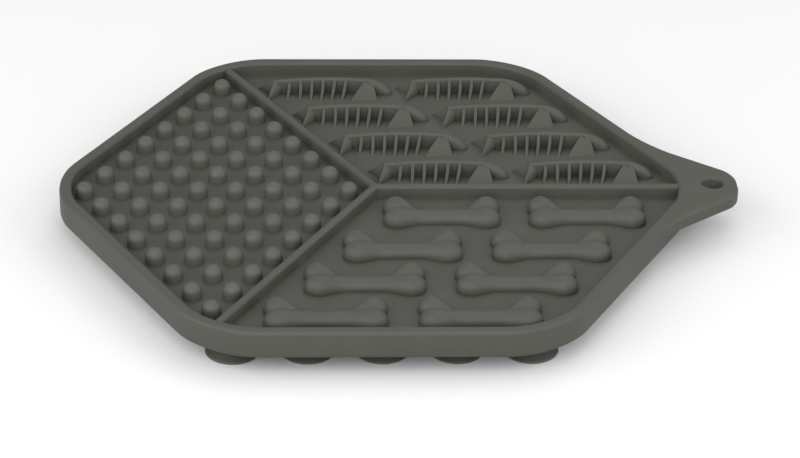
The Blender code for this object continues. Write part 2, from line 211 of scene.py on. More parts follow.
def hexagon_face(bm, level):
    """The tray's outline as one face, in a bmesh of its own."""
    turn = Matrix.Translation((0, 0, level)) @ Matrix.Rotation(math.radians(30), 4, 'Z')
    drawn = bmesh.ops.create_circle(bm, cap_ends=True, segments=6, radius=CORNER_REACH, matrix=turn)
    round_corners(bm, drawn['verts'], CORNER_CUT, CORNER_STEPS)
    return bm.faces[:][0]


def tab_neck():
    """Where the tab's slanting side meets the side of the hexagon."""
    across = SIDE_SLOPE * CORNER_REACH - TAB_END_HALF - TAB_SLOPE * TAB_REACH
    x = across / (SIDE_SLOPE - TAB_SLOPE)
    return x, SIDE_SLOPE * (CORNER_REACH - x)


def tab_face(bm, level):
    """The outline of the tray with its tab as one face, in a bmesh of its own."""
    neck_x, neck_y = tab_neck()
    turns = [math.radians(60 * turn) for turn in (1, 2, 3, 4, 5)]
    points = [(TAB_REACH, TAB_END_HALF), (neck_x, neck_y)]
    points += [(CORNER_REACH * math.cos(turn), CORNER_REACH * math.sin(turn)) for turn in turns]
    points += [(neck_x, -neck_y), (TAB_REACH, -TAB_END_HALF)]
    verts = [bm.verts.new((x, y, level)) for x, y in points]
    bm.faces.new(verts)
    round_corners(bm, verts[2:7], CORNER_CUT, CORNER_STEPS)
    round_corners(bm, [verts[1], verts[7]], TAB_NECK_CUT, TAB_NECK_STEPS)
    round_corners(bm, [verts[0], verts[8]], TAB_END_CUT, TAB_END_STEPS)
    bm.normal_update()
    return bm.faces[:][0]


print("tab reaches, mm:", TAB_REACH / MM, "tray corner reaches, mm:", round(ROUNDED_REACH / MM, 2))

# %% [markdown]
# ## The outside of the tray
#
# The outside is drawn from the plane where the tab's underside lies. The
# outline with the tab is drawn up from there to the rim. Below that plane
# the tab ends and only the hexagon goes on down, so the face there is split
# along the hexagon's corner, and the larger half is drawn down to the foot.
# The corner's curve is taken from the opposite corner, mirrored.

# %% Outside of the tray
RIM_ROUND = 1.2 * MM
RIM_STEPS = 5
FOOT_ROUND = 0.8 * MM
FOOT_STEPS = 3
FLAT_MARGIN = 0.15 * MM
TAB_BOTTOM = RIM_TOP - TAB_THICKNESS
NEAR = 0.02 * MM


def lies_at(part, level):
    """Whether a face or an edge lies flat at one level."""
    return all(abs(vert.co.z - level) < NEAR for vert in part.verts)


def split_under_tab(bm, under):
    """Cut the underside along the hexagon's corner, and return the larger half."""
    start = CORNER_REACH - CORNER_CUT * math.cos(math.radians(60)) - NEAR
    corner = [(-vert.co.x, vert.co.y, vert.co.z) for vert in under.verts if vert.co.x < -start]
    path = sorted(corner, key=lambda point: -point[1])
    on_side = [vert for vert in under.verts
               if abs(vert.co.x * SIDE_SLOPE + abs(vert.co.y) - SIDE_SLOPE * CORNER_REACH) < NEAR]
    upper = max((vert for vert in on_side if vert.co.y > 0), key=lambda vert: vert.co.x)
    lower = max((vert for vert in on_side if vert.co.y < 0), key=lambda vert: vert.co.x)
    bmesh.utils.face_split(under, upper, lower, coords=path)
    shared = [face for face in upper.link_faces if face in lower.link_faces]
    halves = [face for face in shared if lies_at(face, TAB_BOTTOM)]
    return max(halves, key=lambda face: face.calc_area())


def draw_outside(bm):
    """Draw the wall up to the rounded rim and down to the rounded foot."""
    raised = bmesh.ops.extrude_face_region(bm, geom=[tab_face(bm, TAB_BOTTOM)])['geom']
    top = next(part for part in raised if isinstance(part, bmesh.types.BMFace))
    under = next(face for face in bm.faces if len(face.verts) > 4 and face != top)
    bmesh.ops.translate(bm, verts=top.verts, vec=(0, 0, TAB_THICKNESS - RIM_ROUND))
    bmesh.ops.recalc_face_normals(bm, faces=bm.faces)
    inset_by(bm, top, quarter(RIM_ROUND, RIM_STEPS) + [(FLAT_MARGIN, 0)])
    hexagon = split_under_tab(bm, under)
    foot = draw_out(bm, hexagon, CUP_HEIGHT + FOOT_ROUND - TAB_BOTTOM)
    bmesh.ops.recalc_face_normals(bm, faces=bm.faces)
    inset_by(bm, foot, quarter(FOOT_ROUND, FOOT_STEPS) + [(FLAT_MARGIN, 0)])


tray = bmesh.new()
draw_outside(tray)
print("outside of the tray, faces:", len(tray.faces))

# %% [markdown]
# ## The pockets' dish and the hanging hole
#
# The dish is one face again. It starts level at the rim, rolls over into
# the wall, goes down, and ends in a tight fillet and the flat floor. The
# hanging hole is spun from a profile, because it is round and its edges are
# rolled over too. The dish leaves an open edge at the level of the rim, and
# the hole leaves one there and one under the tab.

# %% Dish and hole
FLOOR_FILLET = 0.12 * MM
FILLET_STEPS = 5
HOLE_RADIUS = 3.2 * MM
HOLE_REACH = 102.1 * MM
HOLE_ROUND = 0.8 * MM
HOLE_STEPS = 5
HOLE_SIDES = 40


def draw_dish(bm):
    """The inside of the tray, from the flat of the rim down to the floor."""
    face = hexagon_face(bm, RIM_TOP)
    inset_by(bm, face, [(RIM_WIDTH - RIM_ROUND - FLAT_MARGIN, 0)])
    bmesh.ops.delete(bm, geom=[ring for ring in bm.faces if ring != face], context='FACES')
    inset_by(bm, face, [(FLAT_MARGIN, 0)] + quarter(RIM_ROUND, RIM_STEPS, level_first=True), way=-1)
    face = draw_out(bm, face, FLOOR - RIM_TOP + RIM_ROUND + FLOOR_FILLET)
    inset_by(bm, face, quarter(FLOOR_FILLET, FILLET_STEPS) + [(FLAT_MARGIN, 0)], way=-1)


def spun(profile, sides):
    """Turn a profile of (radius, height) points round Z."""
    bm = bmesh.new()
    verts = [bm.verts.new((radius, 0, height)) for radius, height in profile]
    edges = [bm.edges.new(pair) for pair in zip(verts, verts[1:])]
    bmesh.ops.spin(bm, geom=verts + edges, cent=(0, 0, 0), axis=(0, 0, 1), angle=2 * math.pi,
                   steps=sides, use_merge=True)
    bmesh.ops.remove_doubles(bm, verts=bm.verts, dist=MERGE)
    return bm


def hole_profile():
    """The hole's side with a rolled edge at each end and a narrow flat ring beyond it."""
    roll = [(HOLE_RADIUS + HOLE_ROUND * (1 - math.sin(a)), HOLE_ROUND * math.cos(a) - HOLE_ROUND)
            for a in quarter_turns(HOLE_STEPS)]
    upper = [(radius, RIM_TOP + drop) for radius, drop in roll]
    lower = [(radius, TAB_BOTTOM - drop) for radius, drop in reversed(roll)]
    margin = HOLE_RADIUS + HOLE_ROUND + FLAT_MARGIN
    return [(margin, RIM_TOP)] + upper + lower + [(margin, TAB_BOTTOM)]


def take_in(bm, other, move=(0, 0, 0)):
    """Add another bmesh to this one, moved. The other one is used up."""
    bmesh.ops.translate(other, verts=other.verts, vec=move)
    lent = bpy.data.meshes.new("lent")
    other.to_mesh(lent)
    other.free()
    bm.from_mesh(lent)
    bpy.data.meshes.remove(lent)


inside = bmesh.new()
draw_dish(inside)
take_in(tray, inside)
take_in(tray, spun(hole_profile(), HOLE_SIDES), (HOLE_REACH, 0, 0))
print("with dish and hole, faces:", len(tray.faces))

# %% [markdown]
# ## Closing the flat faces
#
# Two flat faces still lie across the openings: the top, between the
# outline, the dish and the hole, and the tab's underside. A triangle fill
# closes a flat area with holes in it. A narrow level ring beside each
# rounded edge keeps the shading of these large triangles flat.

# %% Close the tray
OUTLINE_CORNERS = 40


def flat_faces(bm, level):
    """The many-cornered faces at one level, the smallest first."""
    found = [face for face in bm.faces if len(face.verts) > OUTLINE_CORNERS and lies_at(face, level)]
    return sorted(found, key=lambda face: face.calc_area())


def close_level(bm, face, level):
    """Swap a face for triangles that leave out the open loops at its level."""
    loops = set(face.edges)
    bmesh.ops.delete(bm, geom=[face], context='FACES_ONLY')
    loops |= {edge for edge in bm.edges if edge.is_boundary and lies_at(edge, level)}
    bmesh.ops.triangle_fill(bm, edges=list(loops), use_beauty=True)


bmesh.ops.remove_doubles(tray, verts=tray.verts, dist=MERGE)
close_level(tray, flat_faces(tray, RIM_TOP)[-1], RIM_TOP)
close_level(tray, flat_faces(tray, TAB_BOTTOM)[0], TAB_BOTTOM)
bmesh.ops.translate(tray, verts=tray.verts, vec=(MIDDLE_X, 0, 0))
print("open edges:", sum(edge.is_boundary for edge in tray.edges))
tray_piece = finish_piece("tray", tray)
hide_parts("lick_mat")

# %% [markdown]
# ## Ribs between the pockets
#
# Three low ribs run from the middle to every second corner. Their section
# is drawn once: a rounded top, upright sides and a tight fillet where they
# leave the floor. It is drawn out along X, cut to a point in the middle
# with two planes, and copied twice round Z, so that the three ribs meet.

# %% Ribs
RIB_HALF = 1.3 * MM
RIB_TOP = RIM_TOP - 0.5 * MM
RIB_ROUND = 1.1 * MM
RIB_FILLET = 0.05 * MM
RIB_STEPS = 4
RIB_START = -4 * MM
RIB_END = ROUNDED_REACH - RIM_WIDTH / 2
RIBS_MEET_X = MIDDLE_X - 0.3 * MM
ON_PLANE = 0.0001 * MM


def rib_section():
    """Half of the rib's section as (across, height) points, from the floor up to the middle."""
    turns = quarter_turns(RIB_STEPS)
    foot = [(RIB_HALF + RIB_FILLET * (1 - math.sin(a)), FLOOR + RIB_FILLET * (1 - math.cos(a)))
            for a in turns]
    edge = [(RIB_HALF - RIB_ROUND * (1 - math.cos(a)), RIB_TOP - RIB_ROUND * (1 - math.sin(a)))
            for a in turns]
    return [(RIB_HALF + RIB_FILLET, FLOOR - ROOT)] + foot + edge


def everything(bm):
    return bm.verts[:] + bm.edges[:] + bm.faces[:]


def only_verts(parts):
    return [part for part in parts if isinstance(part, bmesh.types.BMVert)]


def cut_away(bm, point, normal):
    """Cut a bmesh with a plane and keep the side that the normal points to."""
    bmesh.ops.bisect_plane(bm, geom=everything(bm), dist=ON_PLANE, plane_co=point, plane_no=normal,
                           clear_inner=True)


def one_rib():
    """A rib along +X, cut to a point in the middle of the mat."""
    half = rib_section()
    section = half + [(-across, height) for across, height in reversed(half)]
    bm = bmesh.new()
    verts = [bm.verts.new((RIB_START, across, height)) for across, height in section]
    edges = [bm.edges.new(pair) for pair in zip(verts, verts[1:])]
    drawn = bmesh.ops.extrude_edge_only(bm, edges=edges)['geom']
    bmesh.ops.translate(bm, verts=only_verts(drawn), vec=(RIB_END - RIB_START, 0, 0))
    for side in (-1, 1):
        cut_away(bm, (0, 0, 0), (math.sin(math.radians(60)), side * math.cos(math.radians(60)), 0))
    return bm


ribs = one_rib()
first_rib = everything(ribs)
for turn in (120, 240):
    copied = bmesh.ops.duplicate(ribs, geom=first_rib)['geom']
    bmesh.ops.rotate(ribs, verts=only_verts(copied), matrix=Matrix.Rotation(math.radians(turn), 3, 'Z'))
bmesh.ops.translate(ribs, verts=ribs.verts, vec=(RIBS_MEET_X, 0, 0))
ribs_piece = finish_piece("ribs", ribs)

# %% [markdown]
# ## Pegs
#
# Round-topped pegs hold the food in the left pocket. A peg is turned,
# because it is round: its profile is a nearly upright side and half a ball.
# The pegs stand on a triangular grid, eight along each side of a rhombus.

# %% Pegs
PEG_RADIUS = 2.9 * MM
PEG_TOP_RADIUS = 2.78 * MM
PEG_HEIGHT = 4.6 * MM
PEG_STEPS = 9
PEG_SIDES = 28
PEGS_ON_SIDE = 8
PEG_PITCH = 11.36 * MM
PEG_ROW_PITCH = 9.94 * MM
PEG_FIRST_X = MIDDLE_X - 87.65 * MM


def peg_profile():
    """An upright side that leans in by a hair, and half a ball on top."""
    shoulder = PEG_HEIGHT - PEG_TOP_RADIUS
    dome = [(PEG_TOP_RADIUS * math.cos(a), shoulder + PEG_TOP_RADIUS * math.sin(a))
            for a in quarter_turns(PEG_STEPS)]
    return [(PEG_RADIUS, -ROOT), (PEG_RADIUS, 0)] + dome[:-1] + [(0, PEG_HEIGHT)]


pegs = bmesh.new()
for away in range(PEGS_ON_SIDE):
    for near in range(PEGS_ON_SIDE):
        x = PEG_FIRST_X + (away + near) * PEG_PITCH / 2
        y = (away - near) * PEG_ROW_PITCH
        take_in(pegs, spun(peg_profile(), PEG_SIDES), (x, y, FLOOR))
pegs_piece = finish_piece("pegs", pegs, sharp=60)

# %% [markdown]
# ## Bones
#
# A moulded bone is two lobes side by side: two thick knobs at each end, with
# a crease where they meet, and one slim shaft, because the rear lobe dives
# into the front one between the knobs. A ball has rings round its axis, so
# each lobe starts as a ball that is drawn out along X, and its rings are
# scaled to the lobe's section.

# %% Bones
BONE_HALF_LENGTH = 17.6 * MM
BONE_KNOB_X = 13.3 * MM
BONE_SHAFT_END = 5.6 * MM
# Radius, place across and height of the axis, at the knobs and at the shaft.
FRONT_LOBE = ((4.0 * MM, -3.3 * MM, 0.6 * MM), (3.0 * MM, -1.95 * MM, 0.25 * MM))
REAR_LOBE = ((4.0 * MM, 3.7 * MM, 0.6 * MM), (2.6 * MM, -1.2 * MM, -0.3 * MM))
LOBE_RINGS = 48
LOBE_SIDES = 24
# Keeps a division away from zero.
TINY = 1e-6


def between(a, b, share):
    """The point at a share of the way from one point to another."""
    return tuple(p + (q - p) * share for p, q in zip(a, b))


def lobe_section(x, knob, shaft):
    """Radius, place across and axis height of a lobe at a distance along the bone."""
    reach = min(max((abs(x) - BONE_SHAFT_END) / (BONE_KNOB_X - BONE_SHAFT_END), 0), 1)
    radius, across, axis = between(shaft, knob, reach * reach * (3 - 2 * reach))
    past = max(abs(x) - BONE_KNOB_X, 0) / (BONE_HALF_LENGTH - BONE_KNOB_X)
    return radius * math.sqrt(max(0, 1 - past * past)), across, axis


def add_lobe(bm, knob, shaft):
    lying = Matrix.Rotation(math.radians(90), 4, 'Y')
    ball = bmesh.ops.create_uvsphere(bm, u_segments=LOBE_SIDES, v_segments=LOBE_RINGS, radius=1,
                                     matrix=lying)
    for vert in ball['verts']:
        x = vert.co.x * BONE_HALF_LENGTH
        radius, across, axis = lobe_section(x, knob, shaft)
        ring = max(math.hypot(vert.co.y, vert.co.z), TINY)
        vert.co = (x, across + vert.co.y / ring * radius, axis + vert.co.z / ring * radius)


bone = bmesh.new()
add_lobe(bone, *FRONT_LOBE)
add_lobe(bone, *REAR_LOBE)
print("two lobes, faces:", len(bone.faces))

# %% [markdown]
# ## Melting the lobes together
#
# A boolean union would join the lobes with a hard seam. The Remesh modifier
# melts them into one skin instead, and the Smooth modifier rounds the crease
# between them. What lies under the floor is then cut off with a plane, and
# the one bone is copied to its eight places.

# %% Melt the lobes
SKIN_VOXEL = 0.32 * MM
SKIN_SOFTNESS = 0.5
SKIN_PASSES = 4
SKIN_CUT = -0.25 * MM
# Middles of the left bones, counted from the middle of the hexagon.
BONE_PLACES = ((19.3 * MM, -13.3 * MM), (7.0 * MM, -33.6 * MM),
               (-4.45 * MM, -52.5 * MM), (-15.85 * MM, -71.6 * MM))
BONE_COLUMN_PITCH = 43.4 * MM


def melted(bm):
    """One smooth skin round everything in a bmesh, cut off just under the floor."""
    mesh = bpy.data.meshes.new("melt")
    bm.to_mesh(mesh)
    bm.free()
    melt = bpy.data.objects.new("melt", mesh)
    bpy.context.scene.collection.objects.link(melt)
    remesh = melt.modifiers.new("skin", 'REMESH')
    remesh.mode = 'VOXEL'
    remesh.voxel_size = SKIN_VOXEL
    smooth = melt.modifiers.new("soften", 'SMOOTH')
    smooth.factor = SKIN_SOFTNESS
    smooth.iterations = SKIN_PASSES
    bpy.context.view_layer.update()
    skin = bpy.data.meshes.new_from_object(melt.evaluated_get(bpy.context.evaluated_depsgraph_get()))
    result = bmesh.new()
    result.from_mesh(skin)
    bpy.data.objects.remove(melt)
    bpy.data.meshes.remove(mesh)
    bpy.data.meshes.remove(skin)
    cut_away(result, (0, 0, SKIN_CUT), (0, 0, 1))
    return result


bone = melted(bone)
print("one bone, faces:", len(bone.faces))
bones = bmesh.new()
for column in (0, 1):
    for x, y in BONE_PLACES:
        take_in(bones, bone.copy(), (MIDDLE_X + x + column * BONE_COLUMN_PITCH, y, FLOOR))
bone.free()
bones_piece = finish_piece("bones", bones, sharp=80)

# %% [markdown]
# ## A grid bent onto sections
#
# The parts of a fish skeleton are low ridges whose section changes along
# them. A flat grid is made with one row of points for each section, and
# each point is moved to its place on the section.
#
# A section is written with three numbers a point: how far back it is from
# the nose, how far it is from the spine, and its height. The side of every
# ridge has a flared foot and a rolled top, as a mould leaves them.

# %% Grid on sections
RIDGE_STEPS = 3


def sectioned(bm, sections):
    """Add a grid whose rows of points are the sections, one after the other."""
    rows, columns = len(sections) - 1, len(sections[0]) - 1
    grid = bmesh.ops.create_grid(bm, x_segments=rows, y_segments=columns, size=0.5)
    for vert in grid['verts']:
        section = sections[round((vert.co.x + 0.5) * rows)]
        vert.co = section[round((vert.co.y + 0.5) * columns)]


def ridge_side(top, roll, flare):
    """(height, how far outside the edge) of a ridge's side, from under its foot to its top."""
    turns = quarter_turns(RIDGE_STEPS)
    foot = [(flare * (1 - math.cos(a)), flare * (1 - math.sin(a))) for a in turns]
    edge = [(top - roll * (1 - math.sin(a)), -roll * (1 - math.cos(a))) for a in turns]
    return [(-ROOT, flare)] + foot + edge


print("points of a ridge's side:", len(ridge_side(4 * MM, 0.3 * MM, 0.2 * MM)))

# %% [markdown]
# ## Blades across the spine
#
# Ribs and gill plates are blades: their tops fall in a straight line from
# the spine to the floor, on both sides. A blade is given by its rear and its
# front edge, which are two curves from the spine to the tip. Its sections
# stand closer together towards the tips, where it is thinnest.

# %% Blades
FISH_HEIGHT = 4.6 * MM
FLARE = 0.1 * MM
LEAST_HEIGHT = 0.02 * MM
BLADE_SINK = 0.05 * MM
BLADE_STEPS = 12
SHARES = [math.sin(math.radians(90) * step / BLADE_STEPS) for step in range(-BLADE_STEPS, BLADE_STEPS + 1)]
# A roll and a flare take no more than these shares of the blade's width and height.
ROLL_OF_WIDTH = 0.45
ROLL_OF_HEIGHT = 0.9
FLARE_OF_HEIGHT = 0.5


def blade_section(rear, front, top, roll):
    """From the rear foot over the top to the front foot, each point as (back, across, height)."""
    roll = min(roll, (rear[0] - front[0]) * ROLL_OF_WIDTH, top * ROLL_OF_HEIGHT)
    side = ridge_side(top, roll, min(FLARE, top * FLARE_OF_HEIGHT))
    points = [(rear[0] + out, rear[1], height) for height, out in side]
    points.append(between(rear, front, 0.5) + (top,))
    return points + [(front[0] - out, front[1], height) for height, out in reversed(side)]


def add_blade(bm, edges, roll):
    """Add a blade; edges(share) gives its rear and front edge as (back, across) points."""
    sections = []
    for share in SHARES:
        rear, front = edges(abs(share))
        way = -1 if share < 0 else 1
        top = max(FISH_HEIGHT * (1 - abs(share)) - BLADE_SINK, LEAST_HEIGHT)
        sections.append(blade_section((rear[0], way * rear[1]), (front[0], way * front[1]), top, roll))
    sectioned(bm, sections)


print("sections of a blade:", len(SHARES))

# %% [markdown]
# ## The edges of ribs and gill plates
#
# A fish has six ribs, which sweep back in a slight curve, and the last three
# get shorter towards the tail. The gill plates are narrow at the spine and
# broad at the tips. Their edges are straight, so two points give each.

# %% Edges of the blades
FISH_RIB_REACHES = (7.5 * MM, 7.8 * MM, 7.9 * MM, 7.1 * MM, 6.1 * MM, 4.4 * MM)
FISH_RIB_LEANS = (1.2 * MM, 1.2 * MM, 1.2 * MM, 1.1 * MM, 1.1 * MM, 1.4 * MM)
FISH_RIB_START = 14.5 * MM
FISH_RIB_PITCH = 3.69 * MM
FISH_RIB_BEND = 1.6
FISH_RIB_HALF = 0.6 * MM
FISH_RIB_THINNING = 0.12 * MM
FISH_RIB_ROLL = 0.25 * MM
# (back, across) at the spine and at the tip.
GILL_REAR = ((8.35 * MM, 0), (12.75 * MM, 8.0 * MM))
GILL_FRONT = ((6.05 * MM, 0), (3.25 * MM, 5.1 * MM))
GILL_ROLL = 0.3 * MM


def fish_rib_edges(number):
    """The edges of one rib of the fish, counted from the nose."""
    reach, lean = FISH_RIB_REACHES[number], FISH_RIB_LEANS[number]

    def edges(share):
        middle = FISH_RIB_START + number * FISH_RIB_PITCH + lean * share ** FISH_RIB_BEND
        half = FISH_RIB_HALF - FISH_RIB_THINNING * share
        return (middle + half, reach * share), (middle - half, reach * share)
    return edges


def gill_edges(share):
    return between(*GILL_REAR, share), between(*GILL_FRONT, share)


print("reaches of the fish's ribs, mm:", [round(reach / MM, 1) for reach in FISH_RIB_REACHES])

# %% [markdown]
# ## Spine and nose
#
# The spine is a thin ridge of one height. The nose is an egg's front half
# whose sides are cut away towards the back, so that a slot is left in front
# of the gill plates.

# %% Spine and nose
NOSE_TIP = -0.6 * MM
NOSE_END = 8.15 * MM
NOSE_HALF_WIDTH = 2.6 * MM
NOSE_BLUNT = 2.2
NOSE_ROUND = 0.62
NOSE_STEPS = 18
NOSE_SIDE_STEPS = 8
# The cut starts with this half width and takes this share of the way back from it.
NOSE_CUT = 2.01 * MM
NOSE_TAPER = 0.13
# Where it isn't cut, the nose still stops a hair inside the egg, so its side has some height.
EGG_SHARE = 0.98
TAIL_BACK = 38.0 * MM
SPINE_START = 7 * MM
SPINE_END = TAIL_BACK + 0.2 * MM
SPINE_HALF = 0.8 * MM
SPINE_ROLL = 0.7 * MM
SPINE_STEPS = 24


def add_spine(bm):
    side = ridge_side(FISH_HEIGHT, SPINE_ROLL, FLARE)
    sections = []
    for step in range(SPINE_STEPS + 1):
        back = SPINE_START + (SPINE_END - SPINE_START) * step / SPINE_STEPS
        near = [(back, -SPINE_HALF - out, height) for height, out in side]
        sections.append(near + [(back, SPINE_HALF + out, height) for height, out in reversed(side)])
    sectioned(bm, sections)


def nose_half_width(back):
    """The egg's half width, and the half width that the cut leaves of it."""
    ahead = min(max((NOSE_END - back) / (NOSE_END - NOSE_TIP), 0), 1)
    egg = NOSE_HALF_WIDTH * (1 - ahead ** NOSE_BLUNT) ** (1 / NOSE_BLUNT)
    return egg, min(egg * EGG_SHARE, NOSE_CUT - NOSE_TAPER * back)


def nose_section(ahead):
    """A section of the nose, at a share of the way from its end to its tip."""
    back = NOSE_END - (NOSE_END - NOSE_TIP) * ahead
    egg, left = nose_half_width(back)
    height = FISH_HEIGHT * (1 - ahead ** 2) ** NOSE_ROUND
    points = [(back, -left, -ROOT)]
    for step in range(-NOSE_SIDE_STEPS, NOSE_SIDE_STEPS + 1):
        across = left * math.sin(math.radians(90) * step / NOSE_SIDE_STEPS)
        drop = (across / max(egg, TINY)) ** 2
        points.append((back, across, height * math.sqrt(max(0, 1 - drop))))
    return points + [(back, left, -ROOT)]


def add_nose(bm):
    sectioned(bm, [nose_section(math.cos(a)) for a in quarter_turns(NOSE_STEPS)])


print("nose half widths, mm:", [round(nose_half_width(back * MM)[1] / MM, 1) for back in range(8)])

# %% [markdown]
# ## The tail fin
#
# The tail fin is a ridge across the end of the spine, swept back at both
# tips. Its rear slope is straight and its front slope is rounded, and both
# grow narrow and low towards the tips.

# %% Tail
TAIL_SWEEP = 4.0 * MM
TAIL_NEAR_REACH = 5.6 * MM
TAIL_FAR_REACH = 4.6 * MM
TAIL_REAR_WIDTH = 2.2 * MM
TAIL_FRONT_WIDTH = 3.4 * MM
TAIL_CREST_HALF = 0.1 * MM
TAIL_SWEEP_BEND = 1.3
TAIL_FALL_BEND = 1.2
TAIL_REAR_STEPS = 5
TAIL_FRONT_STEPS = 8


def tail_section(share):
    """A section of the fin, from -1 at the near tip to 1 at the far one."""
    crest = TAIL_BACK + TAIL_SWEEP * abs(share) ** TAIL_SWEEP_BEND
    across = (TAIL_NEAR_REACH if share < 0 else TAIL_FAR_REACH) * share
    top = max(FISH_HEIGHT * (1 - abs(share) ** TAIL_FALL_BEND), LEAST_HEIGHT)
    rear, rear_width = crest + TAIL_CREST_HALF, TAIL_REAR_WIDTH * (1 - abs(share))
    front, front_width = crest - TAIL_CREST_HALF, TAIL_FRONT_WIDTH * (1 - abs(share))
    points = [(rear + rear_width, across, -ROOT)]
    points += [(rear + rear_width * (1 - step / TAIL_REAR_STEPS), across, top * step / TAIL_REAR_STEPS)
               for step in range(TAIL_REAR_STEPS + 1)]
    points += [(front - front_width * math.sin(a), across, top * math.cos(a))
               for a in quarter_turns(TAIL_FRONT_STEPS)]
    return points + [(front - front_width, across, -ROOT)]


def add_tail(bm):
    sectioned(bm, [tail_section(share) for share in SHARES])


print("points of a tail section:", len(tail_section(0)))

# %% [markdown]
# ## Bending the fish
#
# The fish swims in a curve. It is built straight and then bent round a
# centre on its near side: the distance back becomes an angle, and the
# distance from the spine is added to the radius.

# %% Fish
BEND_RADIUS = 78 * MM
BEND_MIDDLE = 20 * MM
# Places of the right fish, counted from the middle of the hexagon: along X the
# nose is there, and along Y the middle of the spine.
FISH_PLACES = ((51.2 * MM, 71.3 * MM), (62.2 * MM, 52.3 * MM),
               (73.6 * MM, 33.0 * MM), (85.2 * MM, 14.1 * MM))
FISH_COLUMN_PITCH = 44.45 * MM


def bend_fish(bm):
    for vert in bm.verts:
        back, across, height = vert.co
        turn = (back - BEND_MIDDLE) / BEND_RADIUS
        vert.co = (-BEND_MIDDLE - (BEND_RADIUS + across) * math.sin(turn),
                   (BEND_RADIUS + across) * math.cos(turn) - BEND_RADIUS, height)


fish = bmesh.new()
add_spine(fish)
add_nose(fish)
add_blade(fish, gill_edges, GILL_ROLL)
add_tail(fish)
for number in range(len(FISH_RIB_REACHES)):
    add_blade(fish, fish_rib_edges(number), FISH_RIB_ROLL)
bend_fish(fish)
print("one fish, faces:", len(fish.faces))

shoal = bmesh.new()
for x, y in FISH_PLACES:
    for column in (-1, 0):
        take_in(shoal, fish.copy(), (MIDDLE_X + x + column * FISH_COLUMN_PITCH, y, FLOOR))
fish.free()
fish_piece = finish_piece("fish", shoal, sharp=50)

# %% [markdown]
# ## Suction cups
#
# Sixty-one small cups hold the mat on a smooth floor. A cup is turned like
# a peg: a short neck, a flared outside, a thin rolled lip and the hollow
# inside. They stand on a triangular grid, five to a side of a hexagon.

# %% Suction cups
CUP_PITCH = 21.0 * MM
CUP_ROW_PITCH = 17.9 * MM
CUP_ROWS_OUT = 4
CUP_SIDES = 32
# Radius and height in millimetres, from the root of the neck to the middle of the hollow.
CUP_OUTSIDE = [(3.9, 6.7), (3.9, 6.4), (3.6, 5.9), (3.5, 5.2), (3.8, 4.2), (4.8, 2.9), (6.1, 1.6),
               (7.3, 0.75)]
CUP_LIP = [(7.8, 0.45), (7.9, 0.2), (7.75, 0.03), (7.5, 0), (7.0, 0.1)]
CUP_HOLLOW = [(5.8, 0.9), (4.4, 1.7), (2.9, 2.3), (1.5, 2.55), (0, 2.6)]

cup_profile = [(radius * MM, height * MM) for radius, height in CUP_OUTSIDE + CUP_LIP + CUP_HOLLOW]
cups = bmesh.new()
for row in range(-CUP_ROWS_OUT, CUP_ROWS_OUT + 1):
    in_row = 2 * CUP_ROWS_OUT + 1 - abs(row)
    for place in range(in_row):
        x = MIDDLE_X + (place - (in_row - 1) / 2) * CUP_PITCH
        take_in(cups, spun(cup_profile, CUP_SIDES), (x, row * CUP_ROW_PITCH, 0))
cups_piece = finish_piece("suction_cups", cups, sharp=60)

# %% [markdown]
# ## Moulded rubber as a node group
#
# Silicone rubber comes out of a blasted mould, so its skin is matte with a
# very fine grain. The group also paints shade into the colour: crevices are
# painted darker and greener than the open faces. A node group makes these
# effects once, and each material gives it its own values. The group puts out
# a colour, a roughness and a height, and no shader.

# %% Rubber group
def make_rubber_group():
    """An empty group with its inputs and outputs."""
    group = bpy.data.node_groups.new("moulded_rubber", 'ShaderNodeTree')
    for name, kind, value in (("Open Colour", 'NodeSocketColor', (0.1, 0.1, 0.1, 1)),
                              ("Painted Shade Colour", 'NodeSocketColor', (0.05, 0.05, 0.05, 1)),
                              ("Painted Shade Reach", 'NodeSocketFloat', 0.004),
                              ("Mottle", 'NodeSocketFloat', 0.05),
                              ("Roughness", 'NodeSocketFloat', 0.6)):
        socket = group.interface.new_socket(name=name, in_out='INPUT', socket_type=kind)
        socket.default_value = value
    for name, kind in (("Colour", 'NodeSocketColor'),
                       ("Roughness", 'NodeSocketFloat'),
                       ("Height", 'NodeSocketFloat')):
        group.interface.new_socket(name=name, in_out='OUTPUT', socket_type=kind)
    return group


def set_inputs(node, values):
    for name, value in values.items():
        node.inputs[name].default_value = value


def add_node(tree, kind, **settings):
    node = tree.nodes.new(kind)
    for name, value in settings.items():
        setattr(node, name, value)
    return node


rubber_group = make_rubber_group()
print("sockets of the group:", [item.name for item in rubber_group.interface.items_tree])

# %% [markdown]
# ## The colour inside the group
#
# Ambient Occlusion finds the crevices: it measures how much of the space
# over a point is open. Its value mixes a painted shade colour into the open one, so crevices are painted
# darker and greener.
# A large noise then mottles the result by a hair, because a whole face of
# one flat colour looks like plastic film.

# %% Colour in the group
# Occlusion values over which the painted crevice shade fades into the open colour.
PAINTED_SHADE_RANGE = (0.1, 0.7)
NOISE_RANGE = (0.3, 0.7)
MOTTLE_SCALE = 70
MOTTLE_DETAIL = 3


def noise(tree, coordinates, scale, detail):
    node = add_node(tree, 'ShaderNodeTexNoise')
    set_inputs(node, {"Scale": scale, "Detail": detail})
    tree.links.new(coordinates.outputs['Object'], node.inputs['Vector'])
    return node.outputs['Fac']


def spread(tree, value, given_range, wanted_range):
    """Stretch a value from one range to another, with soft ends."""
    node = add_node(tree, 'ShaderNodeMapRange', interpolation_type='SMOOTHSTEP')
    set_inputs(node, dict(zip(("From Min", "From Max", "To Min", "To Max"), given_range + wanted_range)))
    tree.links.new(value, node.inputs['Value'])
    return node.outputs['Result']


given = add_node(rubber_group, 'NodeGroupInput')
made = add_node(rubber_group, 'NodeGroupOutput')
coordinates = add_node(rubber_group, 'ShaderNodeTexCoord')
link = rubber_group.links.new
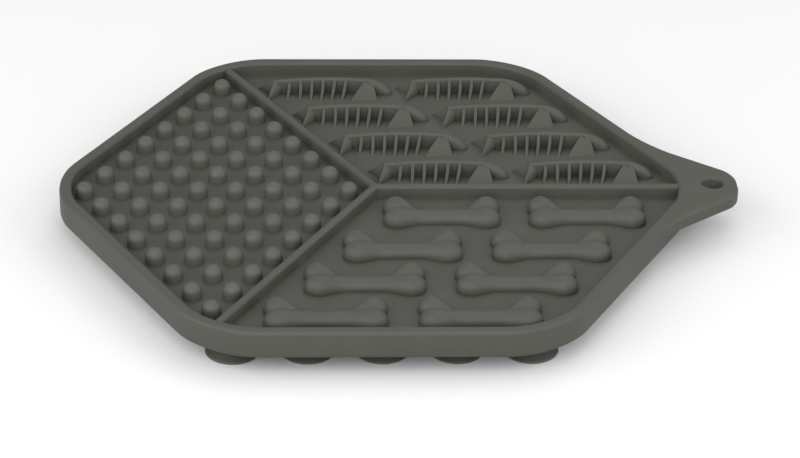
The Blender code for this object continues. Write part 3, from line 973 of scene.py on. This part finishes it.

# Painted shade: occlusion darkens and greens the colour in crevices.
hidden = add_node(rubber_group, 'ShaderNodeAmbientOcclusion', samples=12)
link(given.outputs['Painted Shade Reach'], hidden.inputs['Distance'])
painted_shade_mix = spread(rubber_group, hidden.outputs['AO'], PAINTED_SHADE_RANGE, (0, 1))
tone = add_node(rubber_group, 'ShaderNodeMix', data_type='RGBA')
link(painted_shade_mix, tone.inputs['Factor'])
link(given.outputs['Painted Shade Colour'], tone.inputs['A'])
link(given.outputs['Open Colour'], tone.inputs['B'])

mottling = noise(rubber_group, coordinates, MOTTLE_SCALE, MOTTLE_DETAIL)
amount = add_node(rubber_group, 'ShaderNodeMath', operation='MULTIPLY_ADD')
link(spread(rubber_group, mottling, NOISE_RANGE, (-0.5, 0.5)), amount.inputs[0])
link(given.outputs['Mottle'], amount.inputs[1])
amount.inputs[2].default_value = 1
shade = add_node(rubber_group, 'ShaderNodeVectorMath', operation='SCALE')
link(tone.outputs['Result'], shade.inputs[0])
link(amount.outputs[0], shade.inputs['Scale'])
link(shade.outputs[0], made.inputs['Colour'])
print("nodes for the colour:", len(rubber_group.nodes))

# %% [markdown]
# ## The grain inside the group
#
# A blasted mould leaves a grain much finer than a millimetre. One fine
# noise gives both its height and a roughness that varies a little with it,
# so that the soft highlights break up where the grain does.

# %% Grain in the group
GRAIN_SCALE = 3200
GRAIN_DETAIL = 2
ROUGHNESS_SWING = 0.05

grain = noise(rubber_group, coordinates, GRAIN_SCALE, GRAIN_DETAIL)
rough = add_node(rubber_group, 'ShaderNodeMath', operation='ADD')
link(spread(rubber_group, grain, NOISE_RANGE, (-ROUGHNESS_SWING, ROUGHNESS_SWING)), rough.inputs[0])
link(given.outputs['Roughness'], rough.inputs[1])
link(rough.outputs[0], made.inputs['Roughness'])
link(grain, made.inputs['Height'])
print("nodes in the group:", len(rubber_group.nodes))

# %% [markdown]
# ## The silicone itself
#
# The Principled shader stays in the material. It takes its colour and
# roughness from the group, and a Bump node turns the grain into a normal.
# The pegs get a paler copy of the silicone, painted light that stands in for the light on their upright
# sides.

# %% Silicone
SILICONE_SHINE = 0.32
# The reach sets how far from a wall the painted crevice shade spreads.
SKIN = {"Painted Shade Reach": 6 * MM, "Mottle": 0.06, "Roughness": 0.56}
GRAIN_BUMP = {"Strength": 0.12, "Distance": 0.03 * MM}


def make_silicone(name, open_colour, painted_shade_colour):
    """A silicone with a colour for its open faces and a painted shade colour for its crevices."""
    material = bpy.data.materials.new(name)
    material.use_nodes = True
    tree = material.node_tree
    rubber = tree.nodes["Principled BSDF"]
    rubber.inputs["Specular IOR Level"].default_value = SILICONE_SHINE
    skin = add_node(tree, 'ShaderNodeGroup', node_tree=rubber_group)
    set_inputs(skin, {"Open Colour": open_colour + (1,), "Painted Shade Colour": painted_shade_colour + (1,)})
    set_inputs(skin, SKIN)
    bump = add_node(tree, 'ShaderNodeBump')
    set_inputs(bump, GRAIN_BUMP)
    tree.links.new(skin.outputs['Colour'], rubber.inputs['Base Color'])
    tree.links.new(skin.outputs['Roughness'], rubber.inputs['Roughness'])
    tree.links.new(skin.outputs['Height'], bump.inputs['Height'])
    tree.links.new(bump.outputs['Normal'], rubber.inputs['Normal'])
    return material


# The second colour of each silicone is painted shade for its crevices.
olive_grey = make_silicone("silicone_olive_grey", (0.0422, 0.0455, 0.0358), (0.0262, 0.0345, 0.0215))
# Painted light: the pegs' copy is paler to stand in for the light falling on them.
pegs_painted_light = make_silicone("silicone_painted_light", (0.0530, 0.0560, 0.0455), (0.0420, 0.0475, 0.0355))
pieces = (tray_piece, ribs_piece, pegs_piece, bones_piece, fish_piece, cups_piece)
for piece in pieces:
    piece.data.materials.clear()
    piece.data.materials.append(pegs_painted_light if piece == pegs_piece else olive_grey)
print("pieces in silicone:", len(pieces))

# %% [markdown]
# ## The table
#
# The mat lies on a plain pale table, a flat grid just under the cups. It is
# part of the stage and not of the mat. Its colour is a middle grey, which
# the strong light makes white; a truly white table would throw too much
# light back at the mat's outer walls.

# %% Table
TABLE_HALF = 4000 * MM
TABLE_LEVEL = -0.05 * MM
TABLE_LOOK = {"Base Color": (0.6, 0.6, 0.6, 1), "Roughness": 0.9, "Specular IOR Level": 0.1}

table = bmesh.new()
bmesh.ops.create_grid(table, x_segments=1, y_segments=1, size=TABLE_HALF)
table_mesh = bpy.data.meshes.new("table")
table.to_mesh(table_mesh)
table.free()
table_top = bpy.data.objects.new("table", table_mesh)
table_top.location.z = TABLE_LEVEL
bpy.context.scene.collection.objects.link(table_top)
table_white = bpy.data.materials.new("table_white")
table_white.use_nodes = True
set_inputs(table_white.node_tree.nodes["Principled BSDF"], TABLE_LOOK)
table_mesh.materials.append(table_white)
print("side of the table, m:", 2 * TABLE_HALF)

# %% [markdown]
# ## The light
#
# Light from one lamp overhead would leave the upright faces dark. So three
# wide lamps stand low, in front and at both sides, and light them as softly
# as the level ones. A weak lamp high at the back and a pale surround fill
# the shadows.

# %% Light
SURROUND = {"Color": (1, 0.975, 1, 1), "Strength": 0.6}
LAMP_DISTANCE = 1200 * MM
# Name, power in watts, azimuth from +X and elevation in degrees, width in metres.
LAMPS = (("front", 15.5, 262, 34, 1.4),
         ("left", 9.5, 199, 26, 1.2),
         ("right", 8, 343, 26, 1.2),
         ("ceiling", 4, 60, 65, 1.0))


def soft_lamp(name, power, azimuth, elevation, width):
    """A round lamp that faces the mat."""
    aside, up = math.radians(azimuth), math.radians(elevation)
    towards = Vector((math.cos(up) * math.cos(aside), math.cos(up) * math.sin(aside), math.sin(up)))
    lamp = bpy.data.lights.new(name, 'AREA')
    lamp.shape = 'DISK'
    lamp.size = width
    lamp.energy = power
    stand = bpy.data.objects.new(name, lamp)
    stand.location = LAMP_DISTANCE * towards
    stand.rotation_euler = (-towards).to_track_quat('-Z', 'Y').to_euler()
    bpy.context.scene.collection.objects.link(stand)


surround = bpy.data.worlds.new("surround")
surround.use_nodes = True
set_inputs(surround.node_tree.nodes["Background"], SURROUND)
bpy.context.scene.world = surround
for lamp in LAMPS:
    soft_lamp(*lamp)
bpy.context.scene.view_settings.view_transform = 'Standard'
print("lamps:", len(LAMPS))
